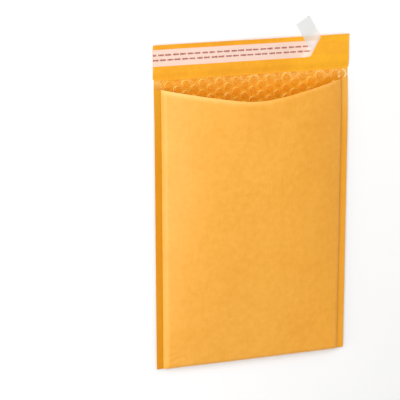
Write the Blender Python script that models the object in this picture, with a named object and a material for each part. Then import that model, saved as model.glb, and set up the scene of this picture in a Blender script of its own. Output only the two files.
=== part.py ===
"""Padded kraft envelope with a bubble film lining, open, lying on its back with the flap laid out.

Lengths are in metres. X runs across the envelope, +Y runs towards the flap and +Z points up. The
origin is the middle of the flat outline, flap included, on the surface that the envelope lies on.
"""

import math

import bmesh
import bpy

# Flat outline
BODY_LENGTH = 0.332
FLAP_LENGTH = 0.038
FLAP_WIDTH = 0.230
SIDE_DRAW_IN = 0.001
SEAM_WIDTH = 0.0075
CREASE_STEP = 0.0005

# Sheets and the room between them
KRAFT_THICKNESS = 0.0003
FILM_THICKNESS = 0.0004
SEALED_FILM_THICKNESS = 0.0003
LAYER_GAP = 0.0002

# Mouth edge of the front panel: a shallow curved cut, rounded over LIP_BEND in its middle
LIP_CORNER_DROP = 0.0109
LIP_CUT_DEPTH = 0.0165
LIP_BEND = 0.021

# Filled-out form of the pocket
FOLD_DEPTH = 0.006
SEAM_LIFT = 0.002
SEAM_LIFT_FADE = 0.060
SHOULDER_RISE = 0.0045
SHOULDER_RUN = 0.006
BACK_SHOULDER_RUN = 0.012
FOLD_CROWN = 0.0015
MOUTH_CROWN = 0.018
BELLY = 0.0025
FOLD_FLATNESS = 4.0
MOUTH_FLATNESS = 2.5

# Bubbles of the lining
BUBBLE_DIAMETER = 0.0092
BUBBLE_HEIGHT = 0.004
BUBBLE_SPACING = 0.0021
BUBBLE_TOP_SHARE = 0.8
BUBBLE_CROWN = 0.0004
BUBBLE_SIDES = 8
BUBBLE_ROOT = 0.0002
BUBBLE_ZONE_DEPTH = 0.045
BUBBLE_MARGIN = 0.001
LINING_SETBACK = 0.0005
LINING_END_SETBACK = 0.001

# Share of the room between the panels that each side's lining may take where they come together
SQUEEZE = 0.45

# Closing strip on the flap
LINER_WIDTH = 0.0183
LINER_TOP_MARGIN = 0.0051
LINER_THICKNESS = 0.0002
ADHESIVE_WIDTH = 0.0145
ADHESIVE_THICKNESS = 0.0002
ADHESIVE_END_MARGIN = 0.002

# Peeled end of the liner: it rolls up and back over a slanted line
PEEL_START = 0.0601
PEEL_SLANT = math.radians(60.9)
PEEL_RADIUS = 0.0074
PEEL_ANGLE = math.radians(178.0)

# Facets
MIDDLE_COLUMNS = 13
SHOULDER_COLUMNS = 4
BACK_SHOULDER_COLUMNS = 2
BODY_ROWS = 7
BUBBLE_ZONE_ROWS = 4
THROAT_ROWS = 2
FOLD_SEGMENTS = 6
PEEL_SEGMENTS = 12
WELD_DISTANCE = 1e-7

# Places that follow from the sizes above
BOTTOM_Y = -(BODY_LENGTH + FLAP_LENGTH) / 2
FOLD_Y = BOTTOM_Y + FOLD_DEPTH
CREASE_Y = BOTTOM_Y + BODY_LENGTH
FLAP_END_Y = CREASE_Y + FLAP_LENGTH
FLAP_HALF = FLAP_WIDTH / 2
BODY_HALF = FLAP_HALF - SIDE_DRAW_IN
POCKET_HALF = BODY_HALF - SEAM_WIDTH
LINING_DEPTH = KRAFT_THICKNESS + LAYER_GAP
SEAM_THICKNESS = 2 * LINING_DEPTH + SEALED_FILM_THICKNESS
LINER_MIDDLE_Y = FLAP_END_Y - LINER_TOP_MARGIN - LINER_WIDTH / 2
ADHESIVE_Z = KRAFT_THICKNESS + LAYER_GAP
LINER_Z = ADHESIVE_Z + ADHESIVE_THICKNESS + LAYER_GAP
BUBBLE_PITCH = BUBBLE_DIAMETER + BUBBLE_SPACING

# Stations along the sheet: 0 is the bottom fold, 1 the mouth edge, 2 the flap crease, 3 the flap's end
AT_LIP = 1.0
AT_CREASE = 2.0
AT_FLAP_END = 3.0


def clear_scene():
    """Removes whatever objects the scene holds."""
    for leftover in list(bpy.data.objects):
        bpy.data.objects.remove(leftover, do_unlink=True)


def make_material(name, colour, roughness, metallic=0.0):
    """Plain surface colour for one piece."""
    material = bpy.data.materials.new(name)
    material.use_nodes = True
    shader = material.node_tree.nodes["Principled BSDF"]
    shader.inputs["Base Color"].default_value = (*colour, 1.0)
    shader.inputs["Roughness"].default_value = roughness
    shader.inputs["Metallic"].default_value = metallic
    return material


def smooth_step(share):
    """Eases from 0 to 1."""
    share = min(max(share, 0.0), 1.0)
    return share * share * (3.0 - 2.0 * share)


def quarter_round(share):
    """Rises steeply from 0 and levels out at 1."""
    return math.sin(math.pi / 2 * min(max(share, 0.0), 1.0))


def lip_y(x):
    """Place along Y of the front panel's mouth edge, over its own width position."""
    reach = min(abs(x), POCKET_HALF)
    bend = math.hypot(reach, LIP_BEND) - LIP_BEND
    full_bend = math.hypot(POCKET_HALF, LIP_BEND) - LIP_BEND
    return CREASE_Y - LIP_CORNER_DROP - LIP_CUT_DEPTH * (1.0 - bend / full_bend)


def station_y(x, station):
    """Place along Y of a station of the sheet."""
    body = min(station, AT_LIP) * (lip_y(x) - FOLD_Y)
    throat = min(max(station - AT_LIP, 0.0), 1.0) * (CREASE_Y - lip_y(x))
    flap = max(station - AT_CREASE, 0.0) * FLAP_LENGTH
    return FOLD_Y + body + throat + flap


def station_at(x, y):
    """Station between the bottom fold and the crease that lies at a place along Y."""
    if y <= lip_y(x):
        return (y - FOLD_Y) / (lip_y(x) - FOLD_Y)
    return AT_LIP + (y - lip_y(x)) / (CREASE_Y - lip_y(x))


def seam_z(y):
    """Height of the seams' underside, which comes down to the surface at the flap crease."""
    return SEAM_LIFT * smooth_step((CREASE_Y - y) / SEAM_LIFT_FADE)


def back_z(x, y):
    """Underside of the back panel: flat on the surface, lifted towards the seams."""
    inward = POCKET_HALF - abs(x)
    return seam_z(y) * (1.0 - quarter_round(inward / BACK_SHOULDER_RUN))


def front_z(x, station):
    """Upper face of the front panel: a shoulder along each seam and a crown that grows to the mouth."""
    inward = POCKET_HALF - abs(x)
    across = min(abs(x) / POCKET_HALF, 1.0)
    crown = FOLD_CROWN + (MOUTH_CROWN - FOLD_CROWN) * station + BELLY * math.sin(math.pi * station)
    flatness = FOLD_FLATNESS + (MOUTH_FLATNESS - FOLD_FLATNESS) * station
    seam_top = seam_z(station_y(x, station)) + SEAM_THICKNESS
    shoulder = SHOULDER_RISE * quarter_round(inward / SHOULDER_RUN)
    return seam_top + shoulder + crown * (1.0 - across ** flatness)


def front_point(x, station, depth):
    """Point of the front panel, at a depth below the outer face of the kraft."""
    return (x, station_y(x, station), front_z(x, station) - depth)


def fold_point(x, turn, depth):
    """Point of the bottom fold, with turn going from 0 at the front panel to 1 at the back panel."""
    top = front_z(x, 0.0)
    underside = back_z(x, FOLD_Y)
    half = (top - underside) / 2 - depth
    reach = FOLD_DEPTH - depth
    angle = math.pi * turn
    return (x, FOLD_Y - reach * math.sin(angle), (top + underside) / 2 + half * math.cos(angle))


def back_point(x, station, depth):
    """Point of the back panel or the flap, at a depth from its underside."""
    y = station_y(x, station)
    return (x, y, back_z(x, y) + depth)


def lining_room(x, station):
    """Height between the two outer faces of the lining."""
    station = min(station, AT_LIP)
    between = front_z(x, station) - back_z(x, station_y(x, station))
    return between - 2 * LINING_DEPTH


def squeezed(wanted, room):
    """Thickness of one side of the lining, at most its share of the room, and half the web at a seam."""
    limit = SEALED_FILM_THICKNESS / 2 + SQUEEZE * (room - SEALED_FILM_THICKNESS)
    return min(wanted, limit)


def bubble_zone_start():
    """Station from which single bubbles stand on the film. Deeper in, the lining is one plain pad."""
    return 1.0 - BUBBLE_ZONE_DEPTH / (lip_y(0.0) - FOLD_Y)


def lining_depth(x, station):
    """Depth of the lining's inner face below the outer face of the kraft."""
    wanted = FILM_THICKNESS
    if station < bubble_zone_start():
        wanted += BUBBLE_HEIGHT
    return LINING_DEPTH + squeezed(wanted, lining_room(x, station))


def even_steps(start, end, count):
    """Values from start to end in equal steps, both ends included."""
    return [start + (end - start) * index / count for index in range(count + 1)]


def pocket_columns():
    """Places across the pocket, closer together on the shoulders along the seams."""
    shoulder = POCKET_HALF - SHOULDER_RUN
    inner = POCKET_HALF - BACK_SHOULDER_RUN
    side = even_steps(POCKET_HALF, shoulder, SHOULDER_COLUMNS)[:-1]
    side += even_steps(shoulder, inner, BACK_SHOULDER_COLUMNS)[:-1]
    return [-x for x in side] + even_steps(-inner, inner, MIDDLE_COLUMNS) + side[::-1]


def sheet_columns(half_width):
    """Places across the whole sheet, with its two side edges."""
    return [-half_width] + pocket_columns() + [half_width]


def body_stations(end):
    """Stations from the bottom fold to an end near the mouth, with the step where the bubbles begin."""
    step = FILM_THICKNESS / (lip_y(0.0) - FOLD_Y)
    start = bubble_zone_start()
    return even_steps(0.0, start - step, BODY_ROWS) + even_steps(start, end, BUBBLE_ZONE_ROWS)


def add_skin(bm, rows):
    """Adds triangles over rows of points, with every cell split along the same diagonal."""
    grid = [[bm.verts.new(point) for point in row] for row in rows]
    for near, far in zip(grid, grid[1:]):
        for a, b, c, d in zip(near, near[1:], far[1:], far):
            bm.faces.new((a, b, c))
            bm.faces.new((a, c, d))


def add_sheet(bm, under, upper):
    """Adds a closed sheet between two skins that have the same rows and columns."""
    add_skin(bm, under)
    add_skin(bm, upper)
    add_skin(bm, [under[0], upper[0]])
    add_skin(bm, [under[-1], upper[-1]])
    for side in (0, -1):
        add_skin(bm, [[row[side] for row in under], [row[side] for row in upper]])


def finish_object(bm, name, material, sharp_angle=math.radians(35.0)):
    """Welds the skins into one closed body and makes the named object of it."""
    bmesh.ops.remove_doubles(bm, verts=bm.verts, dist=WELD_DISTANCE)
    bmesh.ops.recalc_face_normals(bm, faces=bm.faces)
    mesh = bpy.data.meshes.new(name)
    bm.to_mesh(mesh)
    bm.free()
    mesh.materials.append(material)
    mesh.shade_smooth()
    mesh.set_sharp_from_angle(angle=sharp_angle)
    made = bpy.data.objects.new(name, mesh)
    bpy.context.scene.collection.objects.link(made)
    return made


def make_kraft_cover(material):
    """One kraft sheet: front panel, bottom fold, back panel and flap."""
    body = sheet_columns(BODY_HALF)
    flap = sheet_columns(FLAP_HALF)
    stations = body_stations(AT_LIP)
    throat = even_steps(AT_LIP, AT_CREASE, THROAT_ROWS)[1:]
    flap_stations = (AT_CREASE + CREASE_STEP / FLAP_LENGTH, AT_FLAP_END)
    skins = []
    for depth in (0.0, KRAFT_THICKNESS):
        rows = [[front_point(x, station, depth) for x in body] for station in reversed(stations)]
        for turn in even_steps(0.0, 1.0, FOLD_SEGMENTS)[1:-1]:
            rows.append([fold_point(x, turn, depth) for x in body])
        for station in stations + throat:
            rows.append([back_point(x, station, depth) for x in body])
        for station in flap_stations:
            rows.append([back_point(x, station, depth) for x in flap])
        skins.append(rows)
    bm = bmesh.new()
    add_sheet(bm, *skins)
    return finish_object(bm, "kraft_cover", material)


def make_film(material):
    """Film of the lining: a sleeve with an open mouth, flat sealed webs at its sides and a longer back."""
    sheet = sheet_columns(BODY_HALF)
    pocket = pocket_columns()
    lip = AT_LIP - LINING_SETBACK / (lip_y(0.0) - FOLD_Y)
    end = AT_CREASE - LINING_END_SETBACK / (CREASE_Y - lip_y(0.0))
    stations = body_stations(lip)
    throat = even_steps(lip, end, THROAT_ROWS)
    turns = even_steps(0.0, 1.0, FOLD_SEGMENTS)[1:-1]
    web = LINING_DEPTH + SEALED_FILM_THICKNESS / 2

    outer = [[front_point(x, station, LINING_DEPTH) for x in sheet] for station in reversed(stations)]
    outer += [[fold_point(x, turn, LINING_DEPTH) for x in sheet] for turn in turns]
    outer += [[back_point(x, station, LINING_DEPTH) for x in sheet] for station in stations + throat[1:]]

    inner = [[front_point(x, station, lining_depth(x, station)) for x in pocket]
             for station in reversed(stations)]
    inner += [[fold_point(x, turn, lining_depth(x, 0.0)) for x in pocket] for turn in turns]
    inner += [[back_point(x, station, lining_depth(x, station)) for x in pocket] for station in stations]

    mouth = [[back_point(x, station, lining_depth(x, station)) for x in sheet] for station in throat]

    bm = bmesh.new()
    add_skin(bm, outer)
    add_skin(bm, inner)
    add_skin(bm, mouth)
    add_skin(bm, [outer[0], [mouth[0][0], *inner[0], mouth[0][-1]]])
    add_skin(bm, [outer[-1], mouth[-1]])
    for side in (-BODY_HALF, BODY_HALF):
        front_edge = [front_point(side, station, LINING_DEPTH) for station in reversed(stations)]
        back_edge = [back_point(side, station, LINING_DEPTH) for station in reversed(stations)]
        middle = [back_point(side, station, web) for station in reversed(stations)]
        for turn in turns[:len(turns) // 2 + 1]:
            front_edge.append(fold_point(side, turn, LINING_DEPTH))
            back_edge.append(fold_point(side, 1.0 - turn, LINING_DEPTH))
            middle.append((side, front_edge[-1][1], (front_edge[-1][2] + back_edge[-1][2]) / 2))
        add_skin(bm, [front_edge, middle])
        add_skin(bm, [middle, back_edge])
        under = [back_point(side, station, LINING_DEPTH) for station in throat]
        over = [back_point(side, station, web) for station in throat]
        add_skin(bm, [under, over])
    return finish_object(bm, "bubble_lining", material)


def bubble_centres(half_width, low_y, high_y):
    """Centres of staggered bubble rows over a width, between two places along Y."""
    column_step = BUBBLE_PITCH * math.sqrt(3) / 2
    last_column = int((half_width - BUBBLE_DIAMETER / 2) / column_step)
    for column in range(-last_column, last_column + 1):
        x = column * column_step
        y = CREASE_Y - LINING_END_SETBACK - BUBBLE_MARGIN - BUBBLE_DIAMETER / 2
        if column % 2:
            y -= BUBBLE_PITCH / 2
        while y > low_y(x):
            if y < high_y(x):
                yield (x, y)
            y -= BUBBLE_PITCH


def add_bubble(bm, x, y, on_front):
    """Adds one closed bubble that is rooted in the film and stands into the pocket."""
    station = station_at(x, y)
    height = BUBBLE_HEIGHT
    if station < AT_LIP:
        height = min(height, SQUEEZE * (lining_room(x, station) - 2 * FILM_THICKNESS))

    def place(radius, angle, lift):
        at_x = x + radius * math.cos(angle)
        at_y = y + radius * math.sin(angle)
        at_station = station_at(at_x, at_y)
        depth = lining_depth(at_x, at_station) + lift
        if on_front:
            return front_point(at_x, at_station, depth)
        return back_point(at_x, at_station, depth)

    radius = BUBBLE_DIAMETER / 2
    angles = [2 * math.pi * index / BUBBLE_SIDES for index in range(BUBBLE_SIDES)]
    root = [bm.verts.new(place(radius, angle, -BUBBLE_ROOT)) for angle in angles]
    rim = [bm.verts.new(place(radius * BUBBLE_TOP_SHARE, angle, height)) for angle in angles]
    base = bm.verts.new(place(0.0, 0.0, -BUBBLE_ROOT))
    top = bm.verts.new(place(0.0, 0.0, height + BUBBLE_CROWN))
    for index in range(BUBBLE_SIDES):
        following = (index + 1) % BUBBLE_SIDES
        bm.faces.new((base, root[following], root[index]))
        bm.faces.new((root[index], root[following], rim[following], rim[index]))
        bm.faces.new((top, rim[index], rim[following]))


def make_bubbles(material):
    """Bubbles near the mouth, on the back run up to the crease and on the front run up to the lip."""
    margin = BUBBLE_DIAMETER / 2 + BUBBLE_MARGIN
    start = bubble_zone_start()
    bm = bmesh.new()

    def zone_low(x):
        return max(station_y(x + shift, start) for shift in (-margin, margin)) + margin

    def below_crease(_x):
        return CREASE_Y

    def below_lip(x):
        return min(lip_y(x), lip_y(abs(x) - margin)) - margin

    for x, y in bubble_centres(POCKET_HALF - BUBBLE_MARGIN, zone_low, below_crease):
        add_bubble(bm, x, y, on_front=False)
    for x, y in bubble_centres(POCKET_HALF - SHOULDER_RUN, zone_low, below_lip):
        add_bubble(bm, x, y, on_front=True)
    bubbles = finish_object(bm, "bubble_shapes", material)
    bubbles.hide_render = True
    bubbles.display_type = "WIRE"
    return bubbles


def make_bubble_lining(material):
    """Film with its bubbles joined on."""
    lining = make_film(material)
    join = lining.modifiers.new("bubbles", "BOOLEAN")
    join.operation = "UNION"
    join.solver = "EXACT"
    join.object = make_bubbles(material)
    return lining


def make_adhesive_strip(material):
    """Flat strip of clear glue across the flap, under the liner."""
    half_length = FLAP_HALF - ADHESIVE_END_MARGIN
    low_y = LINER_MIDDLE_Y - ADHESIVE_WIDTH / 2
    high_y = LINER_MIDDLE_Y + ADHESIVE_WIDTH / 2
    skins = []
    for z in (ADHESIVE_Z, ADHESIVE_Z + ADHESIVE_THICKNESS):
        skins.append([[(-half_length, y, z), (half_length, y, z)] for y in (low_y, high_y)])
    bm = bmesh.new()
    add_sheet(bm, *skins)
    return finish_object(bm, "adhesive_strip", material)


def peeled_point(along, side, lift):
    """Point of the liner, rolled up and back once it is past the slanted peel line."""
    forward = (math.sin(PEEL_SLANT), -math.cos(PEEL_SLANT))
    past = (along - PEEL_START) * forward[0] + side * forward[1]
    if past <= 0.0:
        return (along, LINER_MIDDLE_Y + side, LINER_Z + lift)
    angle = min(past / PEEL_RADIUS, PEEL_ANGLE)
    free = past - angle * PEEL_RADIUS
    reach = (PEEL_RADIUS - lift) * math.sin(angle) + free * math.cos(angle) - past
    z = LINER_Z + PEEL_RADIUS - (PEEL_RADIUS - lift) * math.cos(angle) + free * math.sin(angle)
    return (along + reach * forward[0], LINER_MIDDLE_Y + side + reach * forward[1], z)


def make_release_liner(material):
    """Peel-off strip: flat on the glue from the left edge, its right end rolled up past the flap's edge."""
    def along_at(past, side):
        return PEEL_START + (past + side * math.cos(PEEL_SLANT)) / math.sin(PEEL_SLANT)

    sides = (-LINER_WIDTH / 2, LINER_WIDTH / 2)
    cuts = [[-FLAP_HALF, -FLAP_HALF]]
    for past in even_steps(0.0, PEEL_RADIUS * PEEL_ANGLE, PEEL_SEGMENTS):
        cuts.append([along_at(past, side) for side in sides])
    cuts.append([FLAP_HALF, FLAP_HALF])
    skins = []
    for lift in (0.0, LINER_THICKNESS):
        skins.append([[peeled_point(along, side, lift) for along, side in zip(cut, sides)] for cut in cuts])
    bm = bmesh.new()
    add_sheet(bm, *skins)
    return finish_object(bm, "release_liner", material)


def main():
    clear_scene()
    kraft = make_material("kraft_paper", (0.89, 0.42, 0.07), 0.62)
    film = make_material("bubble_film", (0.86, 0.37, 0.05), 0.22)
    adhesive = make_material("clear_adhesive", (0.90, 0.52, 0.16), 0.15)
    liner = make_material("liner_paper", (0.95, 0.75, 0.65), 0.40)
    make_kraft_cover(kraft)
    make_bubble_lining(film)
    make_adhesive_strip(adhesive)
    make_release_liner(liner)


main()
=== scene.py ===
import math

import bmesh
import bpy
import numpy as np
from mathutils import Matrix, Vector


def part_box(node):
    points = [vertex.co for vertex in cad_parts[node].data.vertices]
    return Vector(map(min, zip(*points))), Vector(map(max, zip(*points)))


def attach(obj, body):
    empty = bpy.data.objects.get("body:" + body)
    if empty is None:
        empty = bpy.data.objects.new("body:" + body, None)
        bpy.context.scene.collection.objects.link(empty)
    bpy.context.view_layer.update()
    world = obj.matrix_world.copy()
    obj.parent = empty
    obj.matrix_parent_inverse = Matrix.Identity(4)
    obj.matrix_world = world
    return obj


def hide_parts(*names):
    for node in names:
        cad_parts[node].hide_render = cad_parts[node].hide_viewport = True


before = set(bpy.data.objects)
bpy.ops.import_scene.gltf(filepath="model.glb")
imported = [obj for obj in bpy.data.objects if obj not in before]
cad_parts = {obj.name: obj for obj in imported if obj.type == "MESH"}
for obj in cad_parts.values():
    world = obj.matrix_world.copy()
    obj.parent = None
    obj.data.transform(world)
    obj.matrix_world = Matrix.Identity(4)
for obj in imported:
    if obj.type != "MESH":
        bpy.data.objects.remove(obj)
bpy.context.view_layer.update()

COVER_LOW, COVER_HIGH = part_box("kraft_cover")
GLUE_LOW, GLUE_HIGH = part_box("adhesive_strip")

# Flat outline in metres, from the frame where it gives the size
BODY_LENGTH = 0.332
SIDE_DRAW_IN = 0.001
SEAM_WIDTH = 0.0075
CREASE_STEP = 0.0005
FLAP_HALF = COVER_HIGH[0]
BOTTOM_Y = COVER_LOW[1]
FLAP_END_Y = COVER_HIGH[1]
CREASE_Y = BOTTOM_Y + BODY_LENGTH
BODY_HALF = FLAP_HALF - SIDE_DRAW_IN
POCKET_HALF = BODY_HALF - SEAM_WIDTH

# Sheets and the room between them. In a seam the film of the two panels shares the sealed thickness, less a
# small gap
KRAFT = 0.0003
LAYER_GAP = 0.0002
LINING_DEPTH = KRAFT + LAYER_GAP
FILM = 0.0003
THINNEST_FILM = 0.0001
SEALED_FILM = 0.0003
SEALED_GAP = 0.00004
SEALED_LAYER = (SEALED_FILM - SEALED_GAP) / 2
SEAM_THICKNESS = 2 * LINING_DEPTH + SEALED_FILM

# Mouth edge of the front panel: a shallow curved cut, rounded over LIP_BEND in its middle, rolled inwards and
# with a paler band along it, which is a painted highlight
LIP_CORNER_DROP = 0.0109
LIP_CUT_DEPTH = 0.0165
LIP_BEND = 0.021
LIP_ROLL = 0.0012
LIP_ROLL_RUN = 0.0050
LIP_ROLL_FADE = 0.012
LIP_HIGHLIGHT_RUN = 0.0048

# Filled-out form of the pocket. The crown is how far the front panel's middle rises over its shoulders, and
# the flatness is the power of its curve from side to side
FOLD_DEPTH = 0.006
FOLD_Y = BOTTOM_Y + FOLD_DEPTH
FOLD_LOW_S = FOLD_Y - 2 * FOLD_DEPTH
SEAM_LIFT = 0.002
SEAM_LIFT_FADE = 0.060
SHOULDER_RISE = 0.0045
SHOULDER_RUN = 0.006
BACK_SHOULDER_RUN = 0.012
FOLD_CROWN = 0.0015
MOUTH_CROWN = 0.018
BELLY = 0.0025
FOLD_FLATNESS = 4.0
MOUTH_FLATNESS = 2.5

# Unevenness of the front panel. Each ripple has its height and two crossed waves, each with its radians per
# metre along X and Y and its phase
RIPPLES = (
    (0.00030, (31.0, 17.0, 0.6), (-9.0, 23.0, 1.9)),
    (0.00012, (71.0, -38.0, 2.2), (29.0, 58.0, 0.0)),
)
RIPPLE_FADE = 0.030

# Puckers in an oval patch at each corner of the fold
PUCKER_HEIGHT = 0.00016
PUCKER_WAVE = 900.0
PUCKER_SLANT = 0.35
PUCKER_X = 0.092
PUCKER_Y = FOLD_Y + 0.008
PUCKER_REACH = (0.016, 0.008)
PUCKER_EDGE = 1.4

# Flap, springing up a little past its crease. Its waves have a height, radians per half width and a phase
FLAP_SPRING = 0.0012
FLAP_SPRING_RUN = 0.0080
FLAP_WAVES = ((0.0004, 4.1, 0.7), (0.00015, 11.0, 0.0))
FLAP_CURL = 0.0009
FLAP_CURL_RUN = 0.0060
FLAP_BEND_POWER = 1.5

# Bubble film, with its bubbles in staggered rows and their nearest neighbours along Y. The lattice starts a
# few spare rows past the film's end. SQUEEZE is the share of the room between the panels that each side's
# film may take where they come close
BUBBLE_RADIUS = 0.0046
BUBBLE_HEIGHT = 0.004
BUBBLE_PITCH = 0.0113
COLUMN_STEP = BUBBLE_PITCH * math.sqrt(3) / 2
SPARE_ROWS = 2
FILM_SETBACK = 0.001
FRONT_FILM_SETBACK = 0.0005
FIRST_ROW_MARGIN = 0.001
FILM_END_Y = CREASE_Y - FILM_SETBACK
FIRST_ROW_Y = FILM_END_Y - FIRST_ROW_MARGIN - BUBBLE_RADIUS
FILM_EDGE_FADE = 0.0040
FILM_SIDE_MARGIN = 0.001
FILM_SIDE_FADE = 0.006
SQUEEZE = 0.45

# Rings of a bubble from its foot up, each with its share of the radius and of the height, and how many sides
# they have: fine near the mouth and plain further in
FINE_ZONE = 0.060
FINE_RINGS = ((1.0, 0.0), (0.98, 0.26), (0.92, 0.56), (0.85, 0.74), (0.76, 0.85), (0.5, 0.96))
FINE_SIDES = 24
PLAIN_RINGS = ((1.0, 0.0), (0.94, 0.62), (0.62, 0.96))
PLAIN_SIDES = 10
HEXAGON = 6

# What differs from bubble to bubble, in shares: height, dent of the top, lean and strength of the painted
# glints
BUBBLE_SEED = 7
LOWEST_BUBBLE = 0.86
HEIGHT_SPREAD = 0.16
DEEPEST_DENT = 0.25
LEAN_SPREAD = 0.20
WEAKEST_PAINTED_GLINT = 0.55

# Painted glints on a bubble's wall: direction and spread in degrees, place between centre and rim, and
# strength
PAINTED_GLINTS = ((118.0, 38.0, 0.92, 1.0), (-50.0, 60.0, 0.96, 0.88), (90.0, 400.0, 0.95, 0.70))
PAINTED_GLINT_WIDTH = 0.075

# Bubble pressed flat in the right seam at the mouth, of which only the rim stands up
PRESSED_PLACE = (0.1074, CREASE_Y - 0.0074)
PRESSED_RADIUS = 0.0048
PRESSED_RIM = 0.0011
PRESSED_RIM_WIDTH = 0.0008

# Closing strip. Past a slanted line its right end is rolled up and back. Its laid and its lifted length, in
# the direction that it is peeled in, reach past the flap's sides, where the strip is cut off
LINER_WIDTH = 0.0183
LINER_TOP_MARGIN = 0.0051
LINER_MIDDLE_Y = FLAP_END_Y - LINER_TOP_MARGIN - LINER_WIDTH / 2
LINER_THICKNESS = 0.00015
LINER_Z = 0.0008
LINER_LAID = 0.162
LINER_LIFTED = 0.060
PEEL_START = 0.0601
PEEL_SLANT = math.radians(60.9)
PEEL_FORWARD = (math.sin(PEEL_SLANT), -math.cos(PEEL_SLANT))
PEEL_RADIUS = 0.0074
PEEL_ANGLE = math.radians(178.0)
PEEL_ROLLED = PEEL_RADIUS * PEEL_ANGLE

# Adhesive: its uneven edge, in waves with a height, radians per metre and a phase
GLUE_MARGIN = 0.0004
GLUE_EDGE_WAVES = ((0.0003, 210.0, 0.0), (0.00018, 487.0, 1.0))
GLUE_EDGE_POWER = 6
GLUE_THINNING = 0.5
GLUE_THINNING_POWER = 8

# Printed marks: small strokes in two rows, counted from a place well to the left. A row has its place across
# the strip and its shift along it. Each unit of a row has two groups of strokes, with their middle and half
# length as shares of the unit
MARK_ROWS = ((0.0031, 0.000), (-0.0024, 0.0062))
MARK_UNIT = 0.0168
MARK_GROUPS = ((0.23, 0.20), (0.70, 0.20))
MARK_ORIGIN = -1.0
STROKE_PITCH = 0.0015
STROKE_SHARE = 0.80
TALLEST_STROKE = 0.0023
SHORTEST_SHARE = 0.65
ROW_SEED = 1000.0

# Steps of the meshes across and along the sheets. Rows lie closer on the front panel up to LOW_PART and from
# LIP_PART on, and in the seams from WEB_MOUTH_PART on
SEAM_COLUMNS = 3
SHOULDER_COLUMNS = 16
MIDDLE_COLUMNS = 72
LOW_PART = 0.06
LIP_PART = 0.97
LOW_ROWS = 16
PANEL_ROWS = 90
LIP_ROWS = 12
FOLD_ROWS = 18
BACK_ROWS = 80
MOUTH_ROWS = 12
FLAP_ROWS = 32
WEB_COLUMNS = 10
WEB_MOUTH_PART = 0.95
WEB_ROWS = 150
WEB_MOUTH_ROWS = 60
LINER_ROWS = 8
LAID_COLUMNS = 90
ROLLED_COLUMNS = 40
LIFTED_COLUMNS = 24
GLUE_COLUMNS = 120
GLUE_ROWS = 10
SMOOTH_ANGLE = math.radians(40.0)
FILM_SMOOTH_ANGLE = math.radians(60.0)

# Camera of the photograph: turn, tilt and roll of the envelope as it is seen, and its place before it
VIEW_YAW = math.radians(18.819)
VIEW_PITCH = math.radians(14.997)
VIEW_ROLL = math.radians(0.153)
VIEW_OFFSET = Vector((0.05796, -0.00237, -1.91837))
VIEW_FOCAL_PX = 1706.0
FRAME_PX = 400.0
SENSOR_MM = 36.0
CLIP_START = 0.05

# Studio. Each light is a square with its place, its side in metres and its power in watts
FLOOR_SIZE = 6.0
FLOOR_COLOUR = (0.945, 0.94, 0.94)
FLOOR_ROUGHNESS = 0.9
FLOOR_SPECULAR = 0.1
WORLD_COLOUR = (1.0, 0.995, 0.985, 1.0)
WORLD_STRENGTH = 0.50
LIGHTS = {
    "key": ((-0.75, 0.85, 1.15), 1.0, 12.8),
    "fill": ((1.10, 1.00, 0.65), 0.8, 4.8),
    "sheen": ((-0.68, -0.39, 1.28), 1.1, 5.5),
    "edge": ((-1.40, -0.20, 0.35), 0.6, 5.0),
}


# Form of the pocket and the flap

def smooth_step(share):
    share = np.clip(share, 0.0, 1.0)
    return share * share * (3.0 - 2.0 * share)


def quarter_round(share):
    return np.sin(math.pi / 2 * np.clip(share, 0.0, 1.0))


def even(start, end, count):
    return np.linspace(start, end, count + 1)


def lip_y(x):
    """Mouth edge of the front panel."""
    reach = np.minimum(np.abs(x), POCKET_HALF)
    bend = np.hypot(reach, LIP_BEND) - LIP_BEND
    full_bend = math.hypot(POCKET_HALF, LIP_BEND) - LIP_BEND
    return CREASE_Y - LIP_CORNER_DROP - LIP_CUT_DEPTH * (1.0 - bend / full_bend)


def seam_z(y):
    """Height of the seams' underside."""
    return SEAM_LIFT * smooth_step((CREASE_Y - y) / SEAM_LIFT_FADE)


def back_z(x, y):
    """Underside of the back panel."""
    return seam_z(y) * (1.0 - quarter_round((POCKET_HALF - np.abs(x)) / BACK_SHOULDER_RUN))


def wave(x, y, per_x, per_y, phase):
    return np.sin(per_x * x + per_y * y + phase)


def ripples(x, y):
    """Soft unevenness of the filled-out front panel."""
    total = sum(height * wave(x, y, *first) * wave(x, y, *second) for height, first, second in RIPPLES)
    inward = smooth_step((POCKET_HALF - np.abs(x)) / RIPPLE_FADE)
    upward = smooth_step((y - FOLD_Y) / RIPPLE_FADE)
    return total * inward * upward


def puckers(x, y):
    """Small slanting puckers at the corners of the fold."""
    away = np.hypot((np.abs(x) - PUCKER_X) / PUCKER_REACH[0], (y - PUCKER_Y) / PUCKER_REACH[1])
    slanting = np.sin(PUCKER_WAVE * (y + PUCKER_SLANT * np.abs(x)))
    return PUCKER_HEIGHT * slanting * smooth_step(PUCKER_EDGE - away)


def lip_roll(x, y):
    """The cut edge of the front panel rolls inwards a little."""
    near = np.clip(1.0 - (lip_y(x) - y) / LIP_ROLL_RUN, 0.0, 1.0)
    inward = smooth_step((POCKET_HALF - np.abs(x)) / LIP_ROLL_FADE)
    return LIP_ROLL * near ** 2 * inward


def front_z(x, y):
    """Upper face of the front panel, from the fold to the mouth edge."""
    station = np.clip((y - FOLD_Y) / (lip_y(x) - FOLD_Y), 0.0, 1.0)
    across = np.minimum(np.abs(x) / POCKET_HALF, 1.0)
    crown = FOLD_CROWN + (MOUTH_CROWN - FOLD_CROWN) * station + BELLY * np.sin(math.pi * station)
    flatness = FOLD_FLATNESS + (MOUTH_FLATNESS - FOLD_FLATNESS) * station
    shoulder = SHOULDER_RISE * quarter_round((POCKET_HALF - np.abs(x)) / SHOULDER_RUN)
    filled = seam_z(y) + SEAM_THICKNESS + shoulder + crown * (1.0 - across ** flatness)
    return filled + ripples(x, y) + puckers(x, y) - lip_roll(x, y)


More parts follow.
